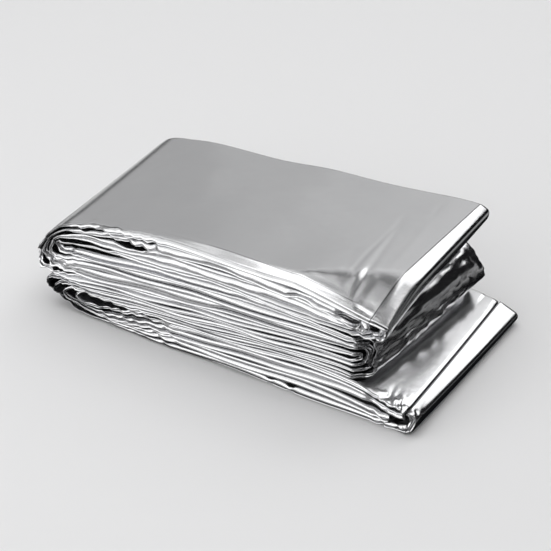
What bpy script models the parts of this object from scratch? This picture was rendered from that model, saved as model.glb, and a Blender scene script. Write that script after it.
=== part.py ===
"""Emergency foil blanket, folded to its packet: one long sheet laid back and forth.

The blanket is a single piece of metallised film, folded into four plies that lie on each
other, and these four plies then zigzag together through four leaves: a top leaf, two inner
leaves and a bottom leaf that sticks out on the right. Two bends stand on the left, one bend
stands between the inner leaves on the right, and the plies join each other at the ends of
the top and the bottom leaf. Sizes are in millimetres, with X along the packet, Y from the
front edge to the back edge, and Z up from the surface that it lies on.
"""

from collections import namedtuple
from math import cos, pi, sin

import bpy
import numpy as np

NAME = "foil_blanket"
MM = 0.001

WIDTH = 80.0                # the packet, front edge to back edge
PLIES = 4
THINNEST, THICKEST = 1.0, 1.5   # one ply, pressed film layers with air between them
PLY_FILL = 0.5              # of the pitch from ply to ply that a ply takes up
QUARTER_STEPS = 4           # stretches in a quarter of a bend
CROSS_SECTIONS = (0.0, 0.16, 0.34, 0.5, 0.66, 0.84, 1.0)
EDGE_ROUND = 0.9            # how far in from its edges a ply has its full thickness
EDGE_SHARE = 0.4            # of a ply's thickness that is left at its very edge
EDGE_STEP = 0.9             # how unevenly the plies' edges line up
BEND_INSET = 2.0            # how far the inner bend lies back from the front edge
BEND_INSET_X, BEND_INSET_RUN = 46.0, 8.0
BEND_INSET_Z = (14.5, 28.5)

# Heights along the packet: the lid is the top leaf's upper face, a split is the middle of the
# space between two leaves counted from the top, and the open columns are how high it is.
Station = namedtuple("Station", "x lid split_12 split_23 split_34 open_12 open_23 open_34")
FRONT = (
    Station(-70.0, 31.0, 25.0, 12.6, 6.4, 2.4, 0.6, 2.2),
    Station(-56.0, 36.8, 27.4, 13.2, 6.6, 2.6, 0.6, 2.4),
    Station(-38.0, 40.8, 28.6, 14.8, 7.4, 1.6, 0.6, 2.4),
    Station(-17.0, 42.4, 30.0, 16.4, 9.4, 1.0, 0.6, 0.8),
    Station(4.0, 43.4, 30.8, 18.2, 11.2, 0.8, 0.6, 0.6),
    Station(24.0, 43.1, 30.6, 19.4, 12.9, 0.8, 0.6, 0.6),
    Station(42.0, 43.9, 30.2, 20.9, 14.4, 1.0, 1.0, 0.7),
    Station(60.0, 43.0, 29.4, 21.7, 15.2, 1.8, 1.2, 0.9),
    Station(76.0, 42.0, 29.0, 21.0, 8.2, 2.0, 1.2, 1.0),
)
BACK = (
    Station(-70.0, 38.6, 28.8, 19.4, 9.6, 1.6, 0.8, 1.6),
    Station(-56.0, 40.0, 29.6, 20.0, 9.9, 1.2, 0.8, 1.2),
    Station(-38.0, 40.4, 30.0, 20.2, 10.1, 0.8, 0.7, 0.7),
    Station(-17.0, 40.7, 30.2, 20.1, 9.9, 0.7, 0.6, 0.6),
    Station(4.0, 41.8, 30.6, 19.9, 9.6, 0.7, 0.6, 0.6),
    Station(24.0, 42.2, 30.8, 19.6, 9.3, 0.8, 0.8, 0.6),
    Station(42.0, 42.6, 30.2, 19.0, 9.1, 1.6, 1.2, 0.7),
    Station(60.0, 43.4, 29.3, 18.5, 8.9, 3.4, 1.4, 0.9),
    Station(76.0, 42.6, 29.0, 18.0, 7.2, 3.4, 1.4, 1.0),
)

# One row for each bend of the whole pack at one edge of the packet. The outer ply starts to
# bend at low_x and high_x and has its tip at tip_x, at tip_share of its height; each ply
# inside it adds a step to each of these. Square says how square the outer ply's lower and
# upper half are: 1 is a straight slant and 2 is round, as the innermost ply always is.
Bend = namedtuple("Bend", "low_x low_step high_x high_step tip_x tip_step "
                          "tip_share share_step low_square high_square")
LOWER_LEFT = (
    Bend(-52.0, 1.8, -66.0, 2.6, -73.6, 4.7, 0.76, -0.04, 1.4, 2.0),
    Bend(-66.0, -0.8, -66.0, -0.8, -77.4, 2.3, 0.5, 0.0, 2.0, 2.0),
)
INNER_RIGHT = (
    Bend(54.0, 0.0, 54.0, 0.0, 61.0, -1.8, 0.5, 0.0, 2.2, 2.2),
    Bend(54.0, 0.6, 54.0, 0.6, 65.5, -2.5, 0.45, 0.02, 2.0, 2.2),
)
UPPER_LEFT = (
    Bend(-64.0, 0.0, -54.0, -3.0, -75.2, 3.0, 0.33, 0.04, 2.1, 1.7),
    Bend(-68.0, -1.0, -64.0, -2.4, -80.5, 2.5, 0.4, 0.03, 2.0, 1.9),
)

# The right ends of the top and the bottom leaf, where the plies join: how far the outer and
# the inner fold reach, and the share of its height at which the outer one reaches furthest.
End = namedtuple("End", "outer_x inner_x tip_share aspect")
TOP_END = (End(63.6, 58.4, 0.42, 1.15), End(63.4, 58.6, 0.46, 1.05))
BOTTOM_END = (End(77.0, 72.2, 0.45, 1.0), End(80.5, 73.2, 0.45, 2.0))
FOLD_ASPECT = 1.2
FREE_EDGE_STEP = 4.0        # how much shorter the free edge inside is than the fold over it
HOOK_GAP = 1.0              # from that fold to the sheet's other free edge, hooked over the end


def mixed(front, back, depth):
    """A row between the front edge's row and the back edge's, at depth 0 to 1."""
    return type(front)(*(a + (b - a) * depth for a, b in zip(front, back)))


def rounded(start, tip, stop, start_square=2.0, stop_square=2.0):
    """Points on the two quarters of a rounded bend, start to tip to stop, those two left out."""
    first, second = [], []
    for step in range(1, QUARTER_STEPS):
        angle = 0.5 * pi * step / QUARTER_STEPS
        for end, square, quarter in ((start, start_square, first), (stop, stop_square, second)):
            out, along = sin(angle) ** (2 / square), cos(angle) ** (2 / square)
            quarter.append((end[0] + (tip[0] - end[0]) * out,
                            tip[1] + (end[1] - tip[1]) * along, end[2]))
    return first + [(*tip, 0.5 * (start[2] + stop[2]))] + second[::-1]


class Section:
    """The packet's cross section at one depth between its front and its back edge."""

    def __init__(self, depth):
        rows = [mixed(a, b, depth) for a, b in zip(FRONT, BACK)]
        self.columns = {field: [getattr(row, field) for row in rows] for field in Station._fields}
        self.lower_left = mixed(*LOWER_LEFT, depth)
        self.inner_right = mixed(*INNER_RIGHT, depth)
        self.upper_left = mixed(*UPPER_LEFT, depth)
        self.top_end = mixed(*TOP_END, depth)
        self.bottom_end = mixed(*BOTTOM_END, depth)

    def column(self, field, x):
        """One column of the height table, read at x."""
        return float(np.interp(x, self.columns["x"], self.columns[field]))

    def leaf_faces(self, leaf, x):
        """Lower and upper face of a leaf at x, leaf 1 being the top one."""
        low, high = 0.0, self.column("lid", x)
        if leaf > 1:
            above = f"{leaf - 1}{leaf}"
            high = self.column("split_" + above, x) - self.column("open_" + above, x) / 2
        if leaf < PLIES:
            below = f"{leaf}{leaf + 1}"
            low = self.column("split_" + below, x) + self.column("open_" + below, x) / 2
        return low, high

    def ply_point(self, leaf, ply, x):
        """Middle of a ply in a leaf at x, with half its thickness there."""
        low, high = self.leaf_faces(leaf, x)
        half = 0.5 * min(max(PLY_FILL * (high - low) / PLIES, THINNEST), THICKEST)
        place = ply if leaf % 2 == 0 else PLIES - 1 - ply
        return (x, low + half + place * (high - low - 2 * half) / (PLIES - 1), half)

    def run(self, leaf, ply, start, stop):
        """Points along a ply in one leaf, with those at the height table's inner stations."""
        between = [row.x for row in FRONT[2:8 if leaf == PLIES else 7]]
        if start > stop:
            between.reverse()
        return [self.ply_point(leaf, ply, x) for x in (start, *between, stop)]

    def bend(self, row, low_leaf, ply, inward):
        """Points round a bend, from the lower leaf to the upper one, its two ends apart."""
        low = self.ply_point(low_leaf, ply, row.low_x + inward * row.low_step)
        high = self.ply_point(low_leaf - 1, ply, row.high_x + inward * row.high_step)
        half = 0.5 * (low[2] + high[2])
        tip_x = row.tip_x + inward * row.tip_step + (half if row.tip_x < 0 else -half)
        tip_share = row.tip_share + inward * row.share_step
        tip = (tip_x, low[1] + tip_share * (high[1] - low[1]))
        rounder = (inward / (PLIES - 1)) ** 2
        low_square = row.low_square + (2.0 - row.low_square) * rounder
        high_square = row.high_square + (2.0 - row.high_square) * rounder
        return low, rounded(low, tip, high, low_square, high_square), high

    def fold(self, leaf, upper_ply, lower_ply, tip_x, tip_share=0.5, aspect=FOLD_ASPECT):
        """The end of a leaf where two of its plies join, as the upper end, bend and lower end."""
        upper, lower = (self.ply_point(leaf, ply, tip_x) for ply in (upper_ply, lower_ply))
        start_x = tip_x - aspect * 0.5 * (upper[1] - lower[1])
        upper, lower = (self.ply_point(leaf, ply, start_x) for ply in (upper_ply, lower_ply))
        tip = (tip_x - upper[2], lower[1] + tip_share * (upper[1] - lower[1]))
        return upper, rounded(upper, tip, lower), lower

    def ply_upwards(self, ply, bottom_x, top_x):
        """A whole ply from the bottom leaf's right end to the top leaf's right end."""
        low_1, bend_1, high_1 = self.bend(self.lower_left, 4, ply, ply)
        low_2, bend_2, high_2 = self.bend(self.inner_right, 3, ply, PLIES - 1 - ply)
        low_3, bend_3, high_3 = self.bend(self.upper_left, 2, ply, ply)
        return (
            self.run(4, ply, bottom_x, low_1[0]) + bend_1
            + self.run(3, ply, high_1[0], low_2[0]) + bend_2
            + self.run(2, ply, high_2[0], low_3[0]) + bend_3
            + self.run(1, ply, high_3[0], top_x)
        )

    def centre_line(self):
        """The whole sheet from one free edge to the other: x, z and half its thickness."""
        top, bottom = self.top_end, self.bottom_end
        outer_top, outer_fold, _ = self.fold(1, 0, 3, top.outer_x, top.tip_share, top.aspect)
        inner_top, inner_fold, _ = self.fold(1, 1, 2, top.inner_x)
        low_top, low_fold, _ = self.fold(4, 3, 2, bottom.inner_x)
        hook_top, hook, hook_low = self.fold(4, 3, 0, bottom.outer_x, bottom.tip_share, bottom.aspect)
        hook_top = (max(hook_top[0], bottom.inner_x + HOOK_GAP), *hook_top[1:])
        hook = [point for point in hook if point[0] > hook_top[0] + 0.4 or point[1] < 0.5 * hook_top[1]]
        plies = [
            self.ply_upwards(0, hook_low[0], outer_top[0]),
            self.ply_upwards(1, low_top[0] - FREE_EDGE_STEP, inner_top[0]),
            self.ply_upwards(2, low_top[0], inner_top[0]),
            self.ply_upwards(3, low_top[0], outer_top[0]),
        ]
        return ([hook_top] + hook + plies[0] + outer_fold + plies[3][::-1] + low_fold
                + plies[2] + inner_fold[::-1] + plies[1][::-1])


def edge_inset(x, z, front):
    """How far the sheet's front or back edge lies inside the packet's own edge at a point."""
    inset = EDGE_STEP * (0.5 + 0.5 * sin(0.11 * x + 0.83 * z + (0.0 if front else 2.1)))
    if front and BEND_INSET_Z[0] < z < BEND_INSET_Z[1]:
        inset += BEND_INSET * min(max((x - BEND_INSET_X) / BEND_INSET_RUN, 0.0), 1.0)
    return inset


def section_ring(depth, taper, share):
    """A closed ring of points round the sheet, at one depth and share of its thickness."""
    points = np.array(Section(depth).centre_line())
    line, full = points[:, :2], points[:, 2]
    steps = np.diff(line, axis=0)
    steps /= np.linalg.norm(steps, axis=1)[:, None]
    along = np.vstack([steps[:1], steps]) + np.vstack([steps, steps[-1:]])
    mitre = 2.0 / np.sum(along * along, axis=1)
    across = np.column_stack([-along[:, 1], along[:, 0]]) * (mitre * full * share)[:, None]
    resting = line[:, 1] <= full + 1e-9
    sides = []
    for face in (line + across, line - across):
        lying = resting & (face[:, 1] < full)
        face[lying, 1] = ((1.0 - share) * full)[lying]
        sides.append(face)
    places = []
    for x, z in line:
        front = -WIDTH / 2 + edge_inset(x, z, True) + taper
        back = WIDTH / 2 - edge_inset(x, z, False) - taper
        places.append(front + (back - front) * depth)
    ring = [(x, y, z) for (x, z), y in zip(sides[0], places)]
    return ring + [(x, y, z) for (x, z), y in zip(sides[1][::-1], places[::-1])]


def build_sheet(collection):
    """The folded sheet as one closed solid, lofted from its front edge to its back edge."""
    rings = [section_ring(0.0, 0.0, EDGE_SHARE)]
    rings += [section_ring(depth, EDGE_ROUND, 1.0) for depth in CROSS_SECTIONS]
    rings.append(section_ring(1.0, 0.0, EDGE_SHARE))
    count, last = len(rings[0]), (len(rings) - 1) * len(rings[0])
    vertices = [tuple(MM * value for value in point) for ring in rings for point in ring]
    faces = []
    for row in range(0, last, count):
        for here in range(count):
            there = (here + 1) % count
            faces.append((row + here, row + there, row + count + there, row + count + here))
    for here in range(count // 2 - 1):
        far = count - 1 - here
        faces.append((here, far, far - 1, here + 1))
        faces.append((last + here + 1, last + far - 1, last + far, last + here))
    mesh = bpy.data.meshes.new(NAME)
    mesh.from_pydata(vertices, [], faces)
    sheet = bpy.data.objects.new(NAME, mesh)
    collection.objects.link(sheet)
    return sheet


def silver_foil():
    """Metallised film."""
    material = bpy.data.materials.new("silver_foil")
    material.use_nodes = True
    shader = material.node_tree.nodes["Principled BSDF"]
    shader.inputs["Base Color"].default_value = (0.78, 0.78, 0.79, 1.0)
    shader.inputs["Metallic"].default_value = 1.0
    shader.inputs["Roughness"].default_value = 0.22
    return material


def main():
    """Build the packet in an empty scene."""
    for item in list(bpy.data.objects):
        bpy.data.objects.remove(item, do_unlink=True)
    collection = bpy.data.collections.new(NAME)
    bpy.context.scene.collection.children.link(collection)
    build_sheet(collection).data.materials.append(silver_foil())


main()
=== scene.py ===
"""Emergency foil blanket folded to its packet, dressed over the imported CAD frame.

The packet is one thin metallised film. It lies in four crosswise plies that zigzag through four
leaves, and each ply carries four lengthwise layers that turn back at the front and the back
edge. Sizes are in millimetres until the mesh is made: X along the packet, Y from the front edge
to the back edge, Z up from the surface that it lies on.
"""

import logging
from dataclasses import dataclass, field
from enum import Enum
from math import cos, pi, radians, sin
from typing import NamedTuple, Sequence

import bpy
import numpy as np
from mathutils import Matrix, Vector

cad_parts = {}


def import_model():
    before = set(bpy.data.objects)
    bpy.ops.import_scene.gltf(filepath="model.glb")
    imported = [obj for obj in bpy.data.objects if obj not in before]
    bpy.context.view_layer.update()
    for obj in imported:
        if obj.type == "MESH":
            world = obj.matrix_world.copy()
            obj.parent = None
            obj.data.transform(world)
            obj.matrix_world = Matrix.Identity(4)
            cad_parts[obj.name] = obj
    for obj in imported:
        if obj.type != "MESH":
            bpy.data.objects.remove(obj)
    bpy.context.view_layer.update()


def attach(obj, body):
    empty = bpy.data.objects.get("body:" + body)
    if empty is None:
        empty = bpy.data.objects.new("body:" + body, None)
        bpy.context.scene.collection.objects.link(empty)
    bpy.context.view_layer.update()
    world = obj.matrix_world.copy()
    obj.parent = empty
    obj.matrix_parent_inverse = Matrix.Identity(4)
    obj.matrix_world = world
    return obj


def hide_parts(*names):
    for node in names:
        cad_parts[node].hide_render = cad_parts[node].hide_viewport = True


log = logging.getLogger("foil_blanket")

NODE = "foil_blanket"
BODY = "root"
MM = 0.001

WIDTH = 80.0
PLIES = 4
THINNEST, THICKEST = 1.0, 1.5
PLY_FILL = 0.5
EDGE_STEP = 0.9
BEND_INSET = 3.6
BEND_INSET_X, BEND_INSET_RUN = 55.5, 3.0
BEND_INSET_Z = (14.5, 28.5)
FREE_EDGE_STEP = 4.0
OUTER_STRETCHES = 16
LOWEST_Z = 0.02
LID_Z = (36.0, 41.0)
LID_END_X = (59.5, 61.5)

ROUND = 2.0
SAMPLED_DEPTH = 0.3
NO_NEIGHBOUR, FREE_ROOM, NEARLY_FREE = 1e3, 50.0, 40.0
PLEAT_WAVES = ((1.0, 1.0), (0.71, 0.8), (0.47, 0.5), (0.36, 0.35))
PLEAT_BOW = 0.35
FRONT_TURN_ANGLES = (0, 10, 22, 34, 46, 58, 70, 80, 90, 100, 112, 124, 138, 152, 166, 180)
BACK_TURN_ANGLES = (15, 32, 50, 70, 90, 110, 130, 148, 165)
SHOWN_PLACES = ((0.4, 1.0, 1.6, 2.2, 2.8, 3.4, 4.2, 5.6), (7.5, 72.5), (75.0, 77.0, 78.4, 79.4))
HIDDEN_PLACES = ((0.5, 1.4, 3.0, 5.6), (9.0, 71.0), (75.5, 78.0, 79.3))


class Station(NamedTuple):
    """Heights of the leaves at one place along the packet."""

    x: float
    lid: float
    split_12: float
    split_23: float
    split_34: float
    open_12: float
    open_23: float
    open_34: float


class Bend(NamedTuple):
    """A bend of the whole pack at one edge: the outer ply's shape and the step for each ply inside."""

    low_x: float
    low_step: float
    high_x: float
    high_step: float
    tip_x: float
    tip_step: float
    tip_share: float
    share_step: float
    low_square: float
    high_square: float


class Bevel(NamedTuple):
    """The right end of a leaf at one edge: where it leaves the face, its foot, heel and shoulder."""

    inner_x: float
    outer_x: float
    drop: float
    heel: float
    inner_fold_x: float
    shoulder: float


FRONT = (
    Station(-70.0, 31.0, 25.0, 12.6, 6.4, 2.4, 0.6, 2.2),
    Station(-56.0, 36.8, 27.4, 13.2, 6.6, 2.6, 0.6, 2.4),
    Station(-38.0, 40.8, 28.6, 14.8, 7.4, 1.6, 0.6, 2.4),
    Station(-17.0, 42.4, 30.0, 16.4, 9.4, 1.0, 0.6, 0.8),
    Station(4.0, 43.4, 30.8, 18.2, 11.2, 0.8, 0.6, 0.6),
    Station(24.0, 43.1, 30.6, 19.4, 12.9, 0.8, 0.6, 0.6),
    Station(42.0, 43.9, 30.2, 20.9, 14.4, 1.0, 1.0, 0.7),
    Station(60.0, 43.0, 29.4, 21.7, 12.8, 1.8, 1.2, 0.9),
    Station(67.0, 42.6, 29.2, 21.4, 10.4, 1.8, 1.2, 1.0),
    Station(76.0, 42.0, 29.0, 21.0, 8.4, 2.0, 1.2, 1.0),
)
BACK = (
    Station(-70.0, 38.6, 28.8, 19.4, 9.6, 1.6, 0.8, 1.6),
    Station(-56.0, 40.0, 29.6, 20.0, 9.9, 1.2, 0.8, 1.2),
    Station(-38.0, 40.4, 30.0, 20.2, 10.1, 0.8, 0.7, 0.7),
    Station(-17.0, 40.7, 30.2, 20.1, 9.9, 0.7, 0.6, 0.6),
    Station(4.0, 41.8, 30.6, 19.9, 9.6, 0.7, 0.6, 0.6),
    Station(24.0, 42.2, 30.8, 19.6, 9.3, 0.8, 0.8, 0.6),
    Station(42.0, 42.6, 30.2, 19.0, 9.6, 1.6, 1.2, 0.7),
    Station(60.0, 43.4, 29.3, 18.5, 9.5, 3.4, 1.4, 0.9),
    Station(67.0, 43.2, 29.2, 18.3, 8.6, 3.4, 1.4, 1.0),
    Station(76.0, 42.6, 29.0, 18.0, 7.2, 3.4, 1.4, 1.0),
)
LOWER_LEFT = (
    Bend(-52.0, 1.8, -66.0, 2.6, -73.6, 4.7, 0.76, -0.04, 1.4, 2.0),
    Bend(-66.0, -0.8, -66.0, -0.8, -77.4, 2.3, 0.5, 0.0, 2.0, 2.0),
)
INNER_RIGHT = (
    Bend(57.2, -0.4, 56.4, -0.4, 61.2, -1.0, 0.45, 0.02, 3.6, 3.2),
    Bend(54.0, 0.6, 52.0, 0.6, 66.0, -2.5, 0.36, 0.03, 2.0, 1.7),
)
UPPER_LEFT = (
    Bend(-64.0, 0.0, -54.0, -3.0, -75.4, 3.2, 0.2, 0.07, 2.1, 1.6),
    Bend(-68.0, -1.0, -64.0, -2.4, -81.6, 2.7, 0.4, 0.03, 2.0, 1.9),
)
TOP_BEVEL = (Bevel(61.0, 67.2, 2.7, 4.6, 59.2, 0.3), Bevel(61.9, 65.4, 1.5, 2.4, 59.8, 0.2))
BOTTOM_BEVEL = (Bevel(75.0, 78.2, 1.5, 3.0, 74.6, 0.2), Bevel(72.9, 80.6, 2.4, 1.6, 72.5, 0.2))


class Kind(Enum):
    """What a stretch of the film's path is."""

    RUN = "run"
    BEND = "bend"
    FOLD = "fold"


def mixed(front: NamedTuple, back: NamedTuple, depth: float) -> NamedTuple:
    """Blend the front edge's row with the back edge's.

    Args:
        front: The row at the front edge.
        back: The row at the back edge.
        depth: 0 at the front edge and 1 at the back edge.

    Returns:
        A row of the same kind.
    """
    return type(front)(*(a + (b - a) * depth for a, b in zip(front, back)))


def smooth_table(knots: np.ndarray, values: np.ndarray, at: np.ndarray) -> np.ndarray:
    """Read a table along a smooth curve through its values.

    Args:
        knots: Places of the table's rows, rising.
        values: The table's values.
        at: Places to read, held at the table's ends.

    Returns:
        One value for each place.
    """
    slopes = np.gradient(values, knots)
    at = np.clip(at, knots[0], knots[-1])
    k = np.clip(np.searchsorted(knots, at) - 1, 0, len(knots) - 2)
    h = knots[k + 1] - knots[k]
    t = (at - knots[k]) / h
    return (
        values[k] * (1 + 2 * t) * (1 - t) ** 2
        + slopes[k] * h * t * (1 - t) ** 2
        + values[k + 1] * t * t * (3 - 2 * t)
        + slopes[k + 1] * h * t * t * (t - 1)
    )


def ease(low: float, high: float, at: np.ndarray) -> np.ndarray:
    """Rise softly from 0 at low to 1 at high."""
    t = np.clip((at - low) / (high - low), 0.0, 1.0)
    return t * t * (3 - 2 * t)


def window(low: float, high: float, soft: float, at: np.ndarray) -> np.ndarray:
    """Be 1 between low and high, and fade to 0 over a soft length outside them."""
    return ease(low - soft, low, at) * (1 - ease(high, high + soft, at))


def wander(walked: np.ndarray, wave: float, seed: int) -> np.ndarray:
    """Make a smooth random line.

    Args:
        walked: Distance walked along the path at each value, from 0.
        wave: Distance between the line's turning points.
        seed: Number of the random series.

    Returns:
        Values that mostly lie between -1 and 1.
    """
    along = walked / wave
    knots = np.arange(int(along[-1]) + 4) - 1.0
    heights = np.random.default_rng(seed).uniform(-1.0, 1.0, len(knots))
    return smooth_table(knots, heights, along)


def pleats(points: np.ndarray, wave: float, seed: int, main: Sequence[float],
           spread: float) -> np.ndarray:
    """Make the flat facets of crumpled film, from crossing triangle waves.

    Args:
        points: Places in millimetres, three numbers each.
        wave: Length of the longest wave.
        seed: Number of the random series.
        main: Direction across the main creases.
        spread: How far the other creases turn from it.

    Returns:
        Heights between about -1 and 1.
    """
    rng = np.random.default_rng(seed)
    total = np.zeros(points.shape[:-1])
    for length, share in PLEAT_WAVES:
        across = np.array(main, dtype=float) + rng.uniform(-spread, spread, 3)
        across /= np.linalg.norm(across)
        bow = PLEAT_BOW * np.sin(points @ rng.uniform(-0.25, 0.25, 3) + rng.uniform(0, 2 * pi))
        phase = points @ across / (wave * length) + rng.uniform(0, 1) + bow
        total += share * (4 * np.abs(phase - np.floor(phase + 0.5)) - 1)
    return total / sum(share for _, share in PLEAT_WAVES)


def neighbours(values: np.ndarray, reach: int) -> list[np.ndarray]:
    """Shift a line of values to each side.

    Args:
        values: The values.
        reach: How many steps to shift, with the ends repeated.

    Returns:
        The shifted copies, from one side to the other.
    """
    padded = np.pad(values, reach, mode="edge")
    return [padded[k:k + len(values)] for k in range(2 * reach + 1)]


@dataclass
class Stretch:
    """One stretch of the path at one depth: its line, half thickness, leaf and ply."""

    kind: Kind
    leaf: float
    ply: int
    line: np.ndarray
    half: np.ndarray

    def length(self) -> float:
        """Weighed length of the line."""
        return float(self.density().sum())

    def sampled(self, count: int) -> np.ndarray:
        """Spread points evenly along the line, the end left out.

        Args:
            count: How many points.

        Returns:
            Rows of x, z and half thickness.
        """
        weight = self.density()
        far = np.concatenate([[0.0], np.cumsum(weight)])
        at = far[-1] * np.arange(count) / count
        return np.column_stack([np.interp(at, far, column) for column in (*self.line.T, self.half)])

    def density(self) -> np.ndarray:
        """Weigh the short pieces of the line.

        Returns:
            The length of each piece, made more at the lid's creases and at the floor leaf's end.
        """
        size = np.linalg.norm(np.diff(self.line, axis=0), axis=1)
        middle = 0.5 * (self.line[1:, 0] + self.line[:-1, 0])
        if self.kind is Kind.RUN and self.leaf == 1 and self.ply == 0:
            size = size * (1 + 1.3 * ease(34, 38, middle))
        if self.kind is Kind.RUN and self.leaf == PLIES and self.ply == PLIES - 1:
            size = size * (1 + 2.0 * ease(63, 66, middle))
        return size


@dataclass
class PacketSection:
    """The packet's cross section at one depth between its front and its back edge."""

    depth: float
    quarter: int = 24
    run_points: int = 160
    bevel_points: int = 121
    floor_leaf_curve: float = 3.0
    pressed: float = 0.06
    lead: float = 1.2
    floor_lead_share: float = 0.3
    fold_reach: float = 0.6
    floor_fold_reach: float = 0.25
    floor_fold_square: float = 4.0
    heel_lean: float = 0.15
    tuck_in: float = 1.8
    tuck_drop: float = 1.6
    tuck_clear: float = 0.3
    tuck_run: float = 3.0
    columns: dict = field(default_factory=dict)

    def __post_init__(self) -> None:
        """Blend the height tables for this depth."""
        rows = [mixed(a, b, self.depth) for a, b in zip(FRONT, BACK)]
        self.columns = {
            name: np.array([getattr(row, name) for row in rows]) for name in Station._fields
        }
        flatter = 1 - (1 - self.depth) ** self.floor_leaf_curve
        self.columns["split_34"] = np.array(
            [a.split_34 + (b.split_34 - a.split_34) * flatter for a, b in zip(FRONT, BACK)])

    def column(self, name: str, x: np.ndarray) -> np.ndarray:
        """Read one column of the height tables at x."""
        return smooth_table(self.columns["x"], self.columns[name], x)

    def leaf_faces(self, leaf: int, x: np.ndarray) -> tuple[np.ndarray, np.ndarray]:
        """Find the lower and the upper face of a leaf.

        Args:
            leaf: 1 for the top leaf to 4 for the bottom leaf.
            x: Places along the packet.

        Returns:
            The heights of both faces.
        """
        low, high = np.zeros_like(x), self.column("lid", x)
        if leaf > 1:
            above = f"{leaf - 1}{leaf}"
            high = self.column("split_" + above, x) - self.column("open_" + above, x) / 2
        if leaf < PLIES:
            below = f"{leaf}{leaf + 1}"
            low = self.column("split_" + below, x) + self.column("open_" + below, x) / 2
        return low, high

    def ply_rows(self, leaf: int, ply: int, x: np.ndarray) -> tuple[np.ndarray, np.ndarray]:
        """Find the middle of a ply in a leaf.

        Args:
            leaf: 1 for the top leaf to 4 for the bottom leaf.
            ply: 0 for the ply that is outside on the lid, to 3.
            x: Places along the packet.

        Returns:
            Points of x and z, and half the ply's thickness at each.
        """
        x = np.atleast_1d(np.asarray(x, dtype=float))
        low, high = self.leaf_faces(leaf, x)
        half = 0.5 * np.clip(PLY_FILL * (high - low) / PLIES, THINNEST, THICKEST)
        place = ply if leaf % 2 == 0 else PLIES - 1 - ply
        z = low + half + place * (high - low - 2 * half) / (PLIES - 1)
        return np.column_stack([x, z]), half

    def rounded(self, start: np.ndarray, tip: Sequence[float], stop: np.ndarray,
                squares: tuple[float, float]) -> np.ndarray:
        """Draw the two quarters of a bend.

        Args:
            start: Where the bend starts.
            tip: The point that it reaches furthest.
            stop: Where it stops.
            squares: How square its first and second quarter are, 1 straight and 2 round.

        Returns:
            Points from start to stop.
        """
        angle = 0.5 * pi * np.arange(self.quarter + 1) / self.quarter
        halves = []
        for end, square in ((start, squares[0]), (stop, squares[1])):
            out, along = np.sin(angle) ** (2 / square), np.clip(np.cos(angle), 0, 1) ** (2 / square)
            halves.append(np.column_stack([
                end[0] + (tip[0] - end[0]) * out, tip[1] + (end[1] - tip[1]) * along]))
        return np.vstack([halves[0], halves[1][::-1][1:]])

    def bend(self, rows: tuple[Bend, Bend], low_leaf: int, ply: int, inward: int) -> Stretch:
        """Lead a ply round a bend of the whole pack, from the lower leaf to the upper one.

        Args:
            rows: The bend's rows at the front and the back edge.
            low_leaf: The leaf below the bend.
            ply: The ply.
            inward: How many plies lie outside it in this bend.

        Returns:
            The stretch of path.
        """
        row = mixed(*rows, self.depth)
        low, low_half = self.ply_rows(low_leaf, ply, row.low_x + inward * row.low_step)
        high, high_half = self.ply_rows(low_leaf - 1, ply, row.high_x + inward * row.high_step)
        low, high, half = low[0], high[0], 0.5 * (low_half[0] + high_half[0])
        tip_x = row.tip_x + inward * row.tip_step + (half if row.tip_x < 0 else -half)
        share = row.tip_share + inward * row.share_step
        rounder = (inward / (PLIES - 1)) ** 2
        squares = tuple(s + (ROUND - s) * rounder for s in (row.low_square, row.high_square))
        line = self.rounded(low, (tip_x, low[1] + share * (high[1] - low[1])), high, squares)
        return Stretch(Kind.BEND, low_leaf - 0.5, ply, line, np.full(len(line), half))

    def run(self, leaf: int, ply: int, start: float, stop: float) -> Stretch:
        """Lead a ply along a leaf between two places."""
        line, half = self.ply_rows(leaf, ply, np.linspace(start, stop, self.run_points))
        return Stretch(Kind.RUN, leaf, ply, line, half)

    def ply_upwards(self, ply: int, bottom_x: float, top_x: float) -> list[Stretch]:
        """Lead a whole ply up through the leaves.

        Args:
            ply: The ply.
            bottom_x: Where it starts, at the bottom leaf's right end.
            top_x: Where it stops, at the top leaf's right end.

        Returns:
            Its stretches of path, from the bottom.
        """
        bends = [
            self.bend(LOWER_LEFT, 4, ply, ply),
            self.bend(INNER_RIGHT, 3, ply, PLIES - 1 - ply),
            self.bend(UPPER_LEFT, 2, ply, ply),
        ]
        stretches, start = [], bottom_x
        for leaf, turn in zip(range(PLIES, 1, -1), bends):
            stretches += [self.run(leaf, ply, start, turn.line[0, 0]), turn]
            start = turn.line[-1, 0]
        return stretches + [self.run(1, ply, start, top_x)]

    def inner_fold(self, leaf: int, upper_ply: int, lower_ply: int, tip_x: float) -> Stretch:
        """Join two plies at the right end of a leaf with a round fold.

        Args:
            leaf: The leaf.
            upper_ply: The ply that the fold starts from.
            lower_ply: The ply that it ends in.
            tip_x: How far it reaches.

        Returns:
            The stretch of path from the upper to the lower ply.
        """
        reach, square = self.fold_reach, ROUND
        if leaf == PLIES:
            reach, square = self.floor_fold_reach, self.floor_fold_square
        upper, lower = (self.ply_rows(leaf, ply, tip_x)[0][0] for ply in (upper_ply, lower_ply))
        start = tip_x - reach * (upper[1] - lower[1])
        (upper, half), (lower, _) = (self.ply_rows(leaf, ply, start) for ply in (upper_ply, lower_ply))
        tip = (tip_x - half[0], 0.5 * (upper[0, 1] + lower[0, 1]))
        line = self.rounded(upper[0], tip, lower[0], (square, ROUND))
        return Stretch(Kind.FOLD, leaf, upper_ply, line, np.full(len(line), half[0]))

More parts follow.
